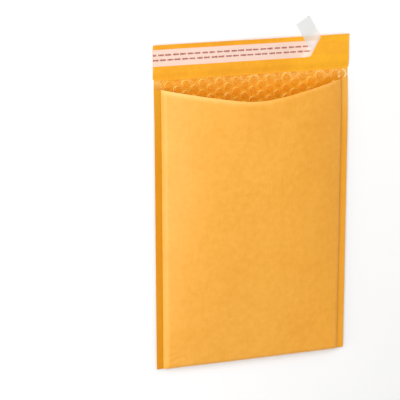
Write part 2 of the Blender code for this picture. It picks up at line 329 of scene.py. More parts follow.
def front_points(x, y, depth):
    return np.stack(np.broadcast_arrays(x, y, front_z(x, y) - depth), -1)


def back_points(x, y, depth):
    return np.stack(np.broadcast_arrays(x, y, back_z(x, y) + depth), -1)


def fold_points(x, turn, depth):
    """Bottom fold, with turn going from 0 at the front panel to 1 at the back panel."""
    top = front_z(x, FOLD_Y)
    underside = back_z(x, FOLD_Y)
    half = (top - underside) / 2 - depth
    angle = math.pi * turn
    y = FOLD_Y - (FOLD_DEPTH - depth) * np.sin(angle)
    return np.stack(np.broadcast_arrays(x, y, (top + underside) / 2 + half * np.cos(angle)), -1)


def flap_lift(x, y):
    """Height of the flap above the surface."""
    out = np.clip((y - CREASE_Y) / (FLAP_END_Y - CREASE_Y), 0.0, 1.0)
    along = x / FLAP_HALF
    waves = sum(height * np.sin(turns * along + phase) for height, turns, phase in FLAP_WAVES)
    near_end = np.clip(1.0 - (FLAP_END_Y - y) / FLAP_CURL_RUN, 0.0, 1.0)
    spring = FLAP_SPRING * smooth_step((y - CREASE_Y) / FLAP_SPRING_RUN)
    return spring + out ** FLAP_BEND_POWER * waves + FLAP_CURL * near_end ** FLAP_BEND_POWER


# Meshes and the kraft cover

def make_object(name, points, faces, materials, kinds=None, smooth_angle=SMOOTH_ANGLE):
    """Closed mesh with its faces turned outwards. kinds gives each face's place in materials."""
    mesh = bpy.data.meshes.new(name)
    mesh.from_pydata([tuple(p) for p in points], [], faces)
    for material in materials:
        mesh.materials.append(material)
    if kinds is not None:
        mesh.polygons.foreach_set("material_index", kinds)
    mesh.shade_smooth()
    bm = bmesh.new()
    bm.from_mesh(mesh)
    bmesh.ops.recalc_face_normals(bm, faces=bm.faces)
    bm.to_mesh(mesh)
    bm.free()
    mesh.set_sharp_from_angle(angle=smooth_angle)
    made = bpy.data.objects.new(name, mesh)
    bpy.context.scene.collection.objects.link(made)
    return made


def add_values(piece, name, values):
    """Give each point of the piece a value that its materials can read."""
    piece.data.attributes.new(name, "FLOAT", "POINT").data.foreach_set("value", values)


def closed_sheet(under, upper):
    """Points, faces and kinds (0 under, 1 upper, 2 edge) of a closed sheet between two grids of points."""
    rows, columns = under.shape[:2]
    count = rows * columns
    points = np.concatenate([under.reshape(-1, 3), upper.reshape(-1, 3)])
    index = np.arange(count).reshape(rows, columns)
    quads = np.stack([index[:-1, :-1].ravel(), index[:-1, 1:].ravel(),
                      index[1:, 1:].ravel(), index[1:, :-1].ravel()], 1)
    faces = quads.tolist() + (quads[:, ::-1] + count).tolist()
    kinds = [0] * len(quads) + [1] * len(quads)
    for edge in (index[0], index[-1, ::-1], index[::-1, 0], index[:, -1]):
        for p, q in zip(edge[:-1].tolist(), edge[1:].tolist()):
            faces.append([p, p + count, q + count, q])
            kinds.append(2)
    return points, faces, kinds


def sheet_columns(half_width):
    """Places across the sheet, closer together on the shoulders along the seams."""
    middle_half = POCKET_HALF - BACK_SHOULDER_RUN
    seam = even(half_width, POCKET_HALF, SEAM_COLUMNS)[:-1]
    shoulder = even(POCKET_HALF, middle_half, SHOULDER_COLUMNS)[:-1]
    middle = even(-middle_half, middle_half, MIDDLE_COLUMNS)
    side = np.concatenate([seam, shoulder])
    return np.concatenate([-side, middle, side[::-1]])


def cover_skin(body, flap, shares, depth):
    """Rows of points from the mouth edge round the fold and along the back to the flap's end."""
    lip = lip_y(body)
    rows = [front_points(body, FOLD_Y + share * (lip - FOLD_Y), depth) for share in shares[::-1]]
    for turn in even(0.0, 1.0, FOLD_ROWS)[1:-1]:
        rows.append(fold_points(body, turn, depth))
    for share in even(0.0, 1.0, BACK_ROWS):
        rows.append(back_points(body, FOLD_Y + share * (lip - FOLD_Y), depth))
    for share in even(0.0, 1.0, MOUTH_ROWS)[1:]:
        rows.append(back_points(body, lip + share * (CREASE_Y - lip), depth))
    for y in even(CREASE_Y + CREASE_STEP, FLAP_END_Y, FLAP_ROWS):
        rows.append(back_points(flap, np.full_like(flap, y), depth + flap_lift(flap, y)))
    return np.array(rows)


def make_cover(outside, inside, sealed):
    """Kraft sheet: outside on its outer face and its edges, inside on its inner face, and sealed over the
    side seams. Its value "lip" is the strength of the painted highlight along the front panel's mouth edge,
    fading with the distance from it."""
    body = sheet_columns(BODY_HALF)
    flap = sheet_columns(FLAP_HALF)
    shares = np.concatenate([even(0.0, LOW_PART, LOW_ROWS)[:-1], even(LOW_PART, LIP_PART, PANEL_ROWS)[:-1],
                             even(LIP_PART, 1.0, LIP_ROWS)])
    skins = [cover_skin(body, flap, shares, depth) for depth in (0.0, KRAFT)]
    points, faces, kinds = closed_sheet(*skins)
    kinds = np.array(kinds) % 2
    places = points[np.array(faces)].mean(axis=1)
    kinds[(np.abs(places[:, 0]) > POCKET_HALF) & (places[:, 1] < lip_y(BODY_HALF))] = 2
    cover = make_object("kraft_sheet", points, faces, [outside, inside, sealed], kinds)
    # Painted highlight along the mouth edge, strongest at the edge
    lip_highlight = np.zeros((2, len(points) // 2))
    for row, share in enumerate(shares[::-1]):
        painted_highlight = math.exp(-((1.0 - share) * BODY_LENGTH / LIP_HIGHLIGHT_RUN) ** 2)
        lip_highlight[:, row * len(body):(row + 1) * len(body)] = painted_highlight * (np.abs(body) < POCKET_HALF)
    add_values(cover, "lip", lip_highlight.ravel())
    return cover


# Bubble film

def film_points(x, s, lift):
    """Place of the film that is laid out flat in s: its Y on the back panel, running on round the fold."""
    depth = LINING_DEPTH + lift
    back = back_points(x, np.maximum(s, FOLD_Y), depth)
    front = front_points(x, np.maximum(FOLD_Y + FOLD_LOW_S - s, FOLD_Y), depth)
    fold = fold_points(x, 1.0 - np.clip((FOLD_Y - s) / (FOLD_Y - FOLD_LOW_S), 0.0, 1.0), depth)
    return np.where((s >= FOLD_Y)[..., None], back, np.where((s <= FOLD_LOW_S)[..., None], front, fold))


def film_y(s):
    """Y of a place on the flat film."""
    return np.where(s >= FOLD_Y, s, np.maximum(FOLD_Y + FOLD_LOW_S - s, FOLD_Y))


def front_end(x):
    """Where the flat film ends, just inside the front panel's mouth edge."""
    return FOLD_Y + FOLD_LOW_S - (lip_y(x) - FRONT_FILM_SETBACK)


def pressed_ring(x, s):
    """Rim of the bubble that is pressed flat, where the film lies open to view."""
    radius = np.hypot(x - PRESSED_PLACE[0], s - PRESSED_PLACE[1])
    rim = PRESSED_RIM * np.exp(-((radius - PRESSED_RADIUS) / PRESSED_RIM_WIDTH) ** 2)
    return np.where(s > lip_y(x), rim, 0.0)


def film_lift(x, s, lift):
    """Height of the film's pocket side, squeezed where the panels come close and flat at its edges."""
    edge = np.minimum(FILM_END_Y - s, s - front_end(x))
    side = POCKET_HALF - np.abs(x)
    lift = lift * smooth_step(edge / FILM_EDGE_FADE) * smooth_step((side - FILM_SIDE_MARGIN) / FILM_SIDE_FADE)
    covered = np.minimum(film_y(s), lip_y(x))
    room = front_z(x, covered) + lip_roll(x, covered) - back_z(x, covered) - 2 * LINING_DEPTH
    squeezed = SEALED_FILM / 2 + SQUEEZE * (room - SEALED_FILM)
    limit = np.where(s > lip_y(x), BUBBLE_HEIGHT * 2, squeezed)
    lift = np.maximum(np.minimum(FILM + lift, limit), THINNEST_FILM)
    return np.where(np.isclose(side, 0.0), SEALED_LAYER, lift) + pressed_ring(x, s)


def bubble_cell(rings, sides):
    """One hexagon of film with its bubble: flat places with height shares, the triangles of the land around
    the bubble and those of its dome. The first six places are shared with the hexagons around it."""
    places = []
    radius = BUBBLE_PITCH / math.sqrt(3)
    for k in range(HEXAGON):
        angle = 2 * math.pi * k / HEXAGON
        places.append((radius * math.cos(angle), radius * math.sin(angle), 0.0))
    for share, height in rings:
        radius = share * BUBBLE_RADIUS
        for k in range(sides):
            angle = 2 * math.pi * k / sides
            places.append((radius * math.cos(angle), radius * math.sin(angle), height))
    places.append((0.0, 0.0, 1.0))
    land = []
    corner = 0
    k = 0
    while corner < HEXAGON or k < sides:
        foot = HEXAGON + k % sides
        if k < sides and (corner >= HEXAGON or (k + 0.5) / sides <= (corner + 0.5) / HEXAGON):
            k += 1
            land.append((corner % HEXAGON, HEXAGON + k % sides, foot))
        else:
            corner += 1
            land.append(((corner - 1) % HEXAGON, corner % HEXAGON, foot))
    dome = []
    for ring in range(len(rings) - 1):
        outer = HEXAGON + ring * sides
        inner = outer + sides
        for k in range(sides):
            after = (k + 1) % sides
            dome += [(outer + k, outer + after, inner + after), (outer + k, inner + after, inner + k)]
    last = HEXAGON + (len(rings) - 1) * sides
    top = len(places) - 1
    dome += [(last + k, last + (k + 1) % sides, top) for k in range(sides)]
    return places, land, dome


def painted_glint(px, ps):
    """Strength of the highlight painted on the wall of a bubble at a place around its centre."""
    radius = math.hypot(px, ps) / BUBBLE_RADIUS
    azimuth = math.degrees(math.atan2(ps, px))
    best = 0.0
    for towards, spread, ring, strength in PAINTED_GLINTS:
        turn = (azimuth - towards + 180.0) % 360.0 - 180.0
        best = max(best, strength * math.exp(-(turn / spread) ** 2 - ((radius - ring) / PAINTED_GLINT_WIDTH) ** 2))
    return best


class Lattice:
    """The bubble film laid out flat: its places, their heights and painted glints, and its cells of faces."""

    def __init__(self):
        self.points, self.lifts, self.glints, self.cells = [], [], [], []
        self.corners = {}

    def add(self, x0, s0, cell, rng):
        """One bubble around a place. Each is a little different."""
        places, land, dome = cell
        height = BUBBLE_HEIGHT * (LOWEST_BUBBLE + HEIGHT_SPREAD * rng.random())
        dent = DEEPEST_DENT * rng.random()
        lean = LEAN_SPREAD * (rng.random(2) - 0.5)
        painted_highlight = WEAKEST_PAINTED_GLINT + (1.0 - WEAKEST_PAINTED_GLINT) * rng.random()
        ids = []
        for k, (px, ps, share) in enumerate(places):
            key = (round(x0 + px, 5), round(s0 + ps, 5)) if k < HEXAGON else None
            if key in self.corners:
                ids.append(self.corners[key])
                continue
            tilt = 1.0 + (lean[0] * px + lean[1] * ps) / BUBBLE_RADIUS
            top = 1.0 - dent if k == len(places) - 1 else 1.0
            ids.append(len(self.points))
            self.points.append((x0 + px, s0 + ps))
            self.lifts.append(height * share * tilt * top)
            # Strength of the painted highlights at this place, on the bubble's wall only
            self.glints.append(painted_highlight * painted_glint(px, ps) if k >= HEXAGON else 0.0)
            if key:
                self.corners[key] = ids[-1]
        self.cells.append((ids[:HEXAGON], [tuple(ids[i] for i in face) for face in land],
                           [tuple(ids[i] for i in face) for face in dome]))


def film_lattice():
    """Columns of bubbles from the crease round to the mouth edge, every other one half a pitch lower."""
    lattice = Lattice()
    rng = np.random.default_rng(BUBBLE_SEED)
    fine = bubble_cell(FINE_RINGS, FINE_SIDES)
    plain = bubble_cell(PLAIN_RINGS, PLAIN_SIDES)
    columns = int(POCKET_HALF / COLUMN_STEP) + 1
    lowest = float(front_end(POCKET_HALF))
    for column in range(-columns, columns + 1):
        s0 = FIRST_ROW_Y + SPARE_ROWS * BUBBLE_PITCH - (BUBBLE_PITCH / 2 if column % 2 else 0.0)
        while s0 > lowest - BUBBLE_PITCH:
            near_mouth = film_y(s0) > CREASE_Y - FINE_ZONE
            lattice.add(column * COLUMN_STEP, s0, fine if near_mouth else plain, rng)
            s0 -= BUBBLE_PITCH
    return lattice


def seam_web(side):
    """Film in one side seam, from the mouth round the fold to the crease."""
    xs = even(POCKET_HALF, BODY_HALF, WEB_COLUMNS)
    shares = np.concatenate([even(0.0, WEB_MOUTH_PART, WEB_ROWS)[:-1],
                             even(WEB_MOUTH_PART, 1.0, WEB_MOUTH_ROWS)])
    x = side * np.broadcast_to(xs, (len(shares), len(xs)))
    low = front_end(x)
    s = low + shares[:, None] * (FILM_END_Y - low)
    return closed_sheet(film_points(x, s, 0.0), film_points(x, s, SEALED_LAYER + pressed_ring(x, s)))


def kept_faces(cells, inside):
    """Faces of the domed side that reach inside the film, their kinds (0 land, 1 dome), and the faces that
    back them: one for each whole cell, and one for each face of a cell that is cut."""
    faces, kinds, backing = [], [], []
    for corners, land, dome in cells:
        land_kept = [face for face in land if any(inside[i] for i in face)]
        dome_kept = [face for face in dome if any(inside[i] for i in face)]
        faces += land_kept + dome_kept
        kinds += [0] * len(land_kept) + [1] * len(dome_kept)
        whole = len(land_kept) == len(land) and len(dome_kept) == len(dome)
        if whole and all(inside[i] for i in corners):
            backing.append(tuple(corners))
        else:
            backing += land_kept + dome_kept
    return faces, kinds, backing


def open_edges(faces):
    """Edges that only one face has, in that face's direction."""
    found = {}
    for face in faces:
        for a, b in zip(face, face[1:] + face[:1]):
            key = (min(a, b), max(a, b))
            found[key] = None if key in found else (a, b)
    return [edge for edge in found.values() if edge]


def make_film(land, dome):
    """Film as a closed skin, domed on the pocket side and flat on the kraft side, with its seam webs. It is
    clear and throws no shadow. Its values are the height of the bubbles, "rise", and the strength of their
    painted highlights, "glint"."""
    lattice = film_lattice()
    x, s = np.array(lattice.points).T
    inside = (np.abs(x) <= POCKET_HALF) & (s <= FILM_END_Y) & (s >= front_end(x))
    x = np.clip(x, -POCKET_HALF, POCKET_HALF)
    s = np.maximum(np.minimum(s, FILM_END_Y), front_end(x))
    count = len(x)
    faces, kinds, backing = kept_faces(lattice.cells, inside)
    rim = [(b, a, a + count, b + count) for a, b in open_edges(faces)]
    faces += [tuple(i + count for i in face[::-1]) for face in backing] + rim
    used = sorted({i for face in faces for i in face})
    place = {old: new for new, old in enumerate(used)}
    faces = [tuple(place[i] for i in face) for face in faces]
    domed = film_points(x, s, film_lift(x, s, np.array(lattice.lifts)))
    level = film_points(x, s, np.zeros_like(x))
    points = np.concatenate([domed, level])[used]
    for side in (-1, 1):
        web_points, web_faces, _ = seam_web(side)
        faces += [tuple(i + len(points) for i in face) for face in web_faces]
        points = np.concatenate([points, web_points])
    kinds += [0] * (len(faces) - len(kinds))
    film = make_object("bubble_film", points, faces, [land, dome], kinds, smooth_angle=FILM_SMOOTH_ANGLE)
    film.visible_shadow = False
    # Heights of the bubbles, and the strength of their painted highlights
    for name, values in (("rise", np.array(lattice.lifts) / BUBBLE_HEIGHT), ("painted_glint", lattice.glints)):
        spread = np.zeros(len(points))
        spread[:len(used)] = np.concatenate([values, np.zeros(count)])[used]
        add_values(film, name, spread)
    return film


# Closing strip

def peeled_points(along, side, lift):
    """Liner rolled up and back past its slanted peel line."""
    past = np.maximum((along - PEEL_START) * PEEL_FORWARD[0] + side * PEEL_FORWARD[1], 0.0)
    angle = np.minimum(past / PEEL_RADIUS, PEEL_ANGLE)
    free = past - angle * PEEL_RADIUS
    reach = (PEEL_RADIUS - lift) * np.sin(angle) + free * np.cos(angle) - past
    x = along + reach * PEEL_FORWARD[0]
    y = LINER_MIDDLE_Y + side + reach * PEEL_FORWARD[1]
    z = LINER_Z + PEEL_RADIUS - (PEEL_RADIUS - lift) * np.cos(angle) + free * np.sin(angle)
    return np.stack([x, y, z + flap_lift(x, y)], -1)


def make_liner(printed, rear):
    """Liner with its flat place as the UV map "strip". It is translucent and throws no shadow."""
    sides = even(-LINER_WIDTH / 2, LINER_WIDTH / 2, LINER_ROWS)
    pasts = np.concatenate([even(-LINER_LAID, 0.0, LAID_COLUMNS)[:-1],
                            even(0.0, PEEL_ROLLED, ROLLED_COLUMNS)[:-1],
                            even(PEEL_ROLLED, LINER_LIFTED, LIFTED_COLUMNS)])
    side, past = np.meshgrid(sides, pasts)
    along = PEEL_START + (past - side * PEEL_FORWARD[1]) / PEEL_FORWARD[0]
    along = np.clip(along, -FLAP_HALF, FLAP_HALF)
    under = peeled_points(along, side, 0.0)
    upper = peeled_points(along, side, LINER_THICKNESS)
    points, faces, kinds = closed_sheet(under, upper)
    sides_up = [1 if kind == 0 else 0 for kind in kinds]
    liner = make_object("peel_strip", points, faces, [printed, rear], sides_up)
    liner.visible_shadow = False
    flat = np.stack([along.ravel(), side.ravel()], -1)
    uv = liner.data.uv_layers.new(name="strip")
    for loop in liner.data.loops:
        uv.data[loop.index].uv = flat[loop.vertex_index % len(flat)]
    return liner


def make_adhesive(material):
    """Thin bead of glue between flap and liner, with a slightly uneven edge."""
    x, share = np.meshgrid(even(GLUE_LOW[0], GLUE_HIGH[0], GLUE_COLUMNS), even(-1.0, 1.0, GLUE_ROWS))
    waves = sum(height * np.sin(turns * x + phase) for height, turns, phase in GLUE_EDGE_WAVES)
    edge = waves * np.abs(share) ** GLUE_EDGE_POWER
    half = (GLUE_HIGH[1] - GLUE_LOW[1]) / 2 - GLUE_MARGIN
    y = (GLUE_HIGH[1] + GLUE_LOW[1]) / 2 + share * (half + edge)
    base = GLUE_LOW[2] + flap_lift(x, y)
    thickness = (GLUE_HIGH[2] - GLUE_LOW[2]) * (1.0 - GLUE_THINNING * share ** GLUE_THINNING_POWER)
    points, faces, _ = closed_sheet(np.stack([x, y, base], -1), np.stack([x, y, base + thickness], -1))
    return make_object("glue_strip", points, faces, [material])


# Materials

class Surface:
    """One material with short ways to add its nodes."""

    def __init__(self, name):
        self.material = bpy.data.materials.new(name)
        self.material.use_nodes = True
        self.nodes = self.material.node_tree.nodes
        self.links = self.material.node_tree.links
        self.shader = self.nodes["Principled BSDF"]
        self.place = self.nodes.new("ShaderNodeTexCoord").outputs["Object"]

    def plug(self, value, socket):
        """Set a socket to a number or a colour, or link it to another node's output."""
        if isinstance(value, (int, float)):
            socket.default_value = value
        elif isinstance(value, tuple):
            socket.default_value = (*value, 1.0)
        else:
            self.links.new(value, socket)

    def set(self, **values):
        for name, value in values.items():
            self.plug(value, self.shader.inputs[name.replace("_", " ")])

    def noise(self, scale, detail=3.0, stretch=(1.0, 1.0, 1.0), roughness=0.55):
        mapping = self.nodes.new("ShaderNodeMapping")
        mapping.inputs["Scale"].default_value = stretch
        texture = self.nodes.new("ShaderNodeTexNoise")
        texture.inputs["Scale"].default_value = scale
        texture.inputs["Detail"].default_value = detail
        texture.inputs["Roughness"].default_value = roughness
        self.links.new(self.place, mapping.inputs["Vector"])
        self.links.new(mapping.outputs["Vector"], texture.inputs["Vector"])
        return texture.outputs["Fac"]

    def attribute(self, name):
        node = self.nodes.new("ShaderNodeAttribute")
        node.attribute_name = name
        return node.outputs["Fac"]

    def math(self, operation, *values):
        node = self.nodes.new("ShaderNodeMath")
        node.operation = operation
        for value, socket in zip(values, node.inputs):
            self.plug(value, socket)
        return node.outputs["Value"]

    def joined(self, operation, values):
        """An operation on the first two values, and then on its result and each value after them."""
        result = values[0]
        for value in values[1:]:
            result = self.math(operation, result, value)
        return result

    def times(self, *values):
        return self.joined("MULTIPLY", values)

    def largest(self, *values):
        return self.joined("MAXIMUM", values)

    def ramp(self, value, low, high, to_low=0.0, to_high=1.0):
        """Smooth change from one value to another while the input goes from low to high."""
        node = self.nodes.new("ShaderNodeMapRange")
        node.interpolation_type = "SMOOTHSTEP"
        for name, number in (("From Min", low), ("From Max", high), ("To Min", to_low), ("To Max", to_high)):
            node.inputs[name].default_value = number
        self.plug(value, node.inputs["Value"])
        return node.outputs["Result"]

    def mix(self, share, a, b, blend="MIX"):
        node = self.nodes.new("ShaderNodeMix")
        node.data_type = "RGBA"
        node.blend_type = blend
        for value, name in ((share, "Factor"), (a, "A"), (b, "B")):
            self.plug(value, next(s for s in node.inputs if s.name == name and s.enabled))
        return next(s for s in node.outputs if s.enabled)

    def tint(self, colour, share, by):
        """Colour multiplied by another in the given share."""
        return self.mix(share, colour, by, "MULTIPLY")

    def split(self, vector):
        node = self.nodes.new("ShaderNodeSeparateXYZ")
        self.links.new(vector, node.inputs["Vector"])
        return node.outputs

    def bump(self, height, strength, distance):
        node = self.nodes.new("ShaderNodeBump")
        node.inputs["Strength"].default_value = strength
        node.inputs["Distance"].default_value = distance
        self.links.new(height, node.inputs["Height"])
        self.links.new(node.outputs["Normal"], self.shader.inputs["Normal"])


# Looks of the kraft paper. Colours are linear, a pair of them runs from dark to light, and a tint multiplies.
# A run says where a smooth change starts and ends, and then its two values where these aren't 0 and 1
KRAFT_PATCHES = {"scale": 24.0}
KRAFT_MOTTLE = {"scale": 150.0, "detail": 4.0}
KRAFT_FIBRES = {"scale": 430.0, "stretch": (1.0, 0.35, 1.0), "roughness": 0.7}
PATCHES_RUN = (0.20, 0.80)
MOTTLE_RUN = (0.09, 0.91)
FIBRES_RUN = (0.05, 0.95)
FIBRE_SHARE = 0.30
KRAFT_ROUGHNESS_SPREAD = 0.2
KRAFT_BUMP = (0.10, 0.0004)
FIBRE_BUMP = 0.6
# Painted highlight along the mouth edge: how it fades to the right, and its colour
LIP_HIGHLIGHT_FADE_RUN = (-0.055, 0.055, 0.60, 0.0)
LIP_HIGHLIGHT_COLOUR = (1.0, 0.60, 0.15)
# Painted light and shade on the right side: lighter inside and on the sealed seams, with less sheen outside
RIGHT_SIDE_LIGHT_RUN = (-0.02, POCKET_HALF)
UPPER_RUN = (CREASE_Y - 0.090, CREASE_Y - LIP_CORNER_DROP)
# Darker line in the seams along the pocket's edge: its width and tint
SEAM_EDGE_LINE_WIDTH = 0.0016
SEAM_EDGE_LINE_TINT = (0.5, 0.4, 0.3)
KRAFT_LOOKS = {
    "kraft_outside": {
        "colours": ((0.775, 0.311, 0.004), (0.925, 0.440, 0.050)),
        "roughness": 0.36, "specular": 0.75, "cloud": 0.24,
        "right": (1.01, 0.97, 0.66),
    },
    "kraft_inside": {
        "colours": ((0.74, 0.288, 0.003), (0.94, 0.430, 0.018)),
        "roughness": 0.50, "specular": 0.35, "cloud": 0.40,
        "right": (1.08, 1.18, 1.05),
    },
    "kraft_sealed": {
        "colours": ((0.64, 0.245, 0.005), (0.72, 0.295, 0.012)),
        "roughness": 0.70, "specular": 0.15, "cloud": 0.30,
        "right": (1.22, 1.34, 3.6), "upper": (1.02, 1.15, 2.0), "line": 0.25,
    },
}


def kraft_material(name, colours, roughness, specular, cloud, right, upper=None, line=None):
    """Kraft paper with cloudy patches, fine mottle and fibres that run along the envelope, and with a painted
    highlight along the mouth edge. cloud is the share of the patches, right the tint of painted light and
    shade on the right side, upper the tint of the part near the mouth, and line the strength of the darker
    line along the pocket's edge."""
    paper = Surface(name)
    across, up = paper.split(paper.place)[:2]
    patches = paper.ramp(paper.noise(**KRAFT_PATCHES), *PATCHES_RUN)
    mottle = paper.ramp(paper.noise(**KRAFT_MOTTLE), *MOTTLE_RUN)
    fibres = paper.ramp(paper.noise(**KRAFT_FIBRES), *FIBRES_RUN)
    share = paper.math("MULTIPLY_ADD", fibres, FIBRE_SHARE, paper.times(patches, cloud))
    share = paper.math("MULTIPLY_ADD", mottle, 1.0 - FIBRE_SHARE - cloud, share)
    colour = paper.mix(share, *colours)
    # Painted highlight along the mouth edge, fading to the right
    lip = paper.times(paper.attribute("lip"), paper.ramp(across, *LIP_HIGHLIGHT_FADE_RUN))
    colour = paper.mix(lip, colour, LIP_HIGHLIGHT_COLOUR)
    # Painted light and shade on the right side, following how the light falls there
    colour = paper.tint(colour, paper.ramp(across, *RIGHT_SIDE_LIGHT_RUN), right)
    if upper:
        colour = paper.tint(colour, paper.ramp(up, *UPPER_RUN), upper)
    # Darker line in the seams along the pocket's edge
    if line:
        sideways = paper.math("ABSOLUTE", across)
        pressed = paper.ramp(sideways, POCKET_HALF, POCKET_HALF + SEAM_EDGE_LINE_WIDTH, line, 0.0)
        colour = paper.tint(colour, pressed, SEAM_EDGE_LINE_TINT)
    paper.set(Base_Color=colour, Specular_IOR_Level=specular,
              Roughness=paper.math("MULTIPLY_ADD", mottle, KRAFT_ROUGHNESS_SPREAD, roughness))
    paper.bump(paper.math("MULTIPLY_ADD", fibres, FIBRE_BUMP, mottle), *KRAFT_BUMP)
    return paper.material


# Looks of the film. Its pairs of colours run from the pocket up to the crease: the redder colours deeper in
# are painted, standing for the warm light bounced inside the pocket. Gloss is the share of light that it
# mirrors and haze the share that it scatters
MOST_OPAQUE = 0.95
PALER_RUN = (CREASE_Y - 0.020, CREASE_Y - 0.004)
# Colour of the painted glints on the bubbles
PAINTED_GLINT_COLOUR = (1.0, 0.68, 0.15)

# Film between the bubbles
LAND_COLOURS = ((0.92, 0.45, 0.022), (0.78, 0.43, 0.035))
LAND_GLOSS = 0.03
LAND_ROUGHNESS = 0.16
LAND_HAZE = 0.18
LAND_CLOUD = {"scale": 75.0}
LAND_CLOUD_HAZE = 0.16
LAND_BUMP = (0.25, 0.0005)

# Crinkles and pale flecks along the crease: milky crinkled film, made paler by painted highlights
CRINKLE = {"scale": 330.0, "detail": 4.0, "stretch": (1.0, 1.6, 1.0), "roughness": 0.65}
CRINKLE_UP_RUN = (CREASE_Y - 0.014, CREASE_Y - 0.004)
CRINKLE_ACROSS_RUN = (-0.10, 0.08, 0.45, 1.0)
CRINKLE_SIDE_RUN = (POCKET_HALF - 0.004, POCKET_HALF + 0.001, 1.0, 0.15)
FLECK_RUN = (0.43, 0.61)
FLECK_HAZE = 0.38
FLECK_COLOUR = (0.93, 0.61, 0.24)

# Film sealed in the side seams
WEB_COLOURS = ((0.73, 0.355, 0.045), (0.85, 0.50, 0.11))
WEB_SIDE_RUN = (POCKET_HALF - 0.0045, POCKET_HALF + 0.0010)
WEB_UP_RUN = (CREASE_Y - LIP_CORNER_DROP, FILM_END_Y)
WEB_HAZE_RUN = (0.0, 1.0, 0.55, 0.70)

# Painted highlights on rims: of the bubble that is pressed flat, with the distance from its rim, and around
# the other bubbles
RIM_RUN = (0.0004, 0.0017, 1.0, 0.0)
RIM_BREAKS = {"scale": 210.0}
RIM_BREAKS_RUN = (0.35, 0.60, 0.6, 1.0)
RIM_HIGHLIGHT_HAZE = 0.35
RIM_HIGHLIGHT_COLOUR = (1.0, 0.64, 0.22)
LAND_GLINT_RUN = (0.25, 0.80, 0.0, 0.55)

# Bubbles. They mirror more where they are seen edge-on, and their darker tops are painted shade
DOME_SHADED_TOP_COLOURS = ((0.81, 0.262, 0.001), (0.69, 0.275, 0.003))
DOME_FOOT_COLOURS = ((0.95, 0.46, 0.025), (0.83, 0.45, 0.035))
DOME_FOOT_RUN = (0.30, 0.80, 1.0, 0.0)
DOME_GLOSS = 0.025
DOME_EDGE_GLOSS = 0.06
DOME_EDGE_BLEND = 0.5
DOME_EDGE_POWER = 3.0
DOME_ROUGHNESS = 0.14
DOME_HAZE = 0.33
DOME_BREAKS = {"scale": 260.0}
DOME_BREAKS_RUN = (0.30, 0.60, 0.8, 1.0)
DOME_GLINT_HAZE = 0.72
DOME_GLINT_RUN = (0.0, 0.6)


def set_film(film, gloss, haze, colour, roughness):
    """Clear film that mirrors and scatters the given shares of light and lets the rest through."""
    seen = film.math("ADD", gloss, haze)
    film.set(Base_Color=colour, Alpha=film.math("MINIMUM", seen, MOST_OPAQUE),
             Metallic=film.math("DIVIDE", gloss, seen), Roughness=roughness)


def crinkle_flecks(film, crinkle, across, up, sideways):
    """Pale flecks of crinkled film along the crease, fewer to the left and in the seams. They are milky film,
    made paler still by painted highlights.
    """
    band = film.times(film.ramp(up, *CRINKLE_UP_RUN), film.ramp(across, *CRINKLE_ACROSS_RUN),
                      film.ramp(sideways, *CRINKLE_SIDE_RUN))
    return film.times(band, film.ramp(crinkle, *FLECK_RUN))


def pressed_rim_highlight(film):
    """Painted highlight along the rim of the bubble that is pressed flat in the seam, broken up a little."""
    away = film.nodes.new("ShaderNodeVectorMath")
    away.operation = "DISTANCE"
    film.links.new(film.place, away.inputs[0])
    away.inputs[1].default_value = (*PRESSED_PLACE, SEAM_THICKNESS)
    from_rim = film.math("ABSOLUTE", film.math("SUBTRACT", away.outputs["Value"], PRESSED_RADIUS))
    return film.times(film.ramp(from_rim, *RIM_RUN), film.ramp(film.noise(**RIM_BREAKS), *RIM_BREAKS_RUN))


def land_material():
    """Film between the bubbles, crinkled along the crease and milky where it is sealed in the seams. Its pale
    flecks are milky film made paler by painted highlights, and it has painted highlights around the bubbles.
    """
    film = Surface("film_land")
    across, up = film.split(film.place)[:2]
    sideways = film.math("ABSOLUTE", across)
    crinkle = film.noise(**CRINKLE)
    # Pale flecks: milky crinkled film, made paler by painted highlights
    flecks = crinkle_flecks(film, crinkle, across, up, sideways)
    haze = film.math("MULTIPLY_ADD", flecks, FLECK_HAZE, LAND_HAZE)
    haze = film.math("MULTIPLY_ADD", film.noise(**LAND_CLOUD), LAND_CLOUD_HAZE, haze)
    # Redder deeper in the pocket: painted bounced light
    body = film.mix(film.ramp(up, *PALER_RUN), *LAND_COLOURS)
    body = film.mix(flecks, body, FLECK_COLOUR)
    sealed = film.ramp(sideways, *WEB_SIDE_RUN)
    up_web = film.ramp(up, *WEB_UP_RUN)
    body = film.mix(sealed, body, film.mix(up_web, *WEB_COLOURS))
    haze = film.largest(haze, film.times(sealed, film.ramp(up_web, *WEB_HAZE_RUN)))
    # Painted highlights on the rims of the bubbles and of the bubble that is pressed flat
    rim = film.largest(pressed_rim_highlight(film), film.ramp(film.attribute("painted_glint"), *LAND_GLINT_RUN))
    haze = film.math("MULTIPLY_ADD", rim, RIM_HIGHLIGHT_HAZE, haze)
    set_film(film, LAND_GLOSS, haze, film.mix(rim, body, RIM_HIGHLIGHT_COLOUR), LAND_ROUGHNESS)
    film.bump(crinkle, *LAND_BUMP)
    return film.material


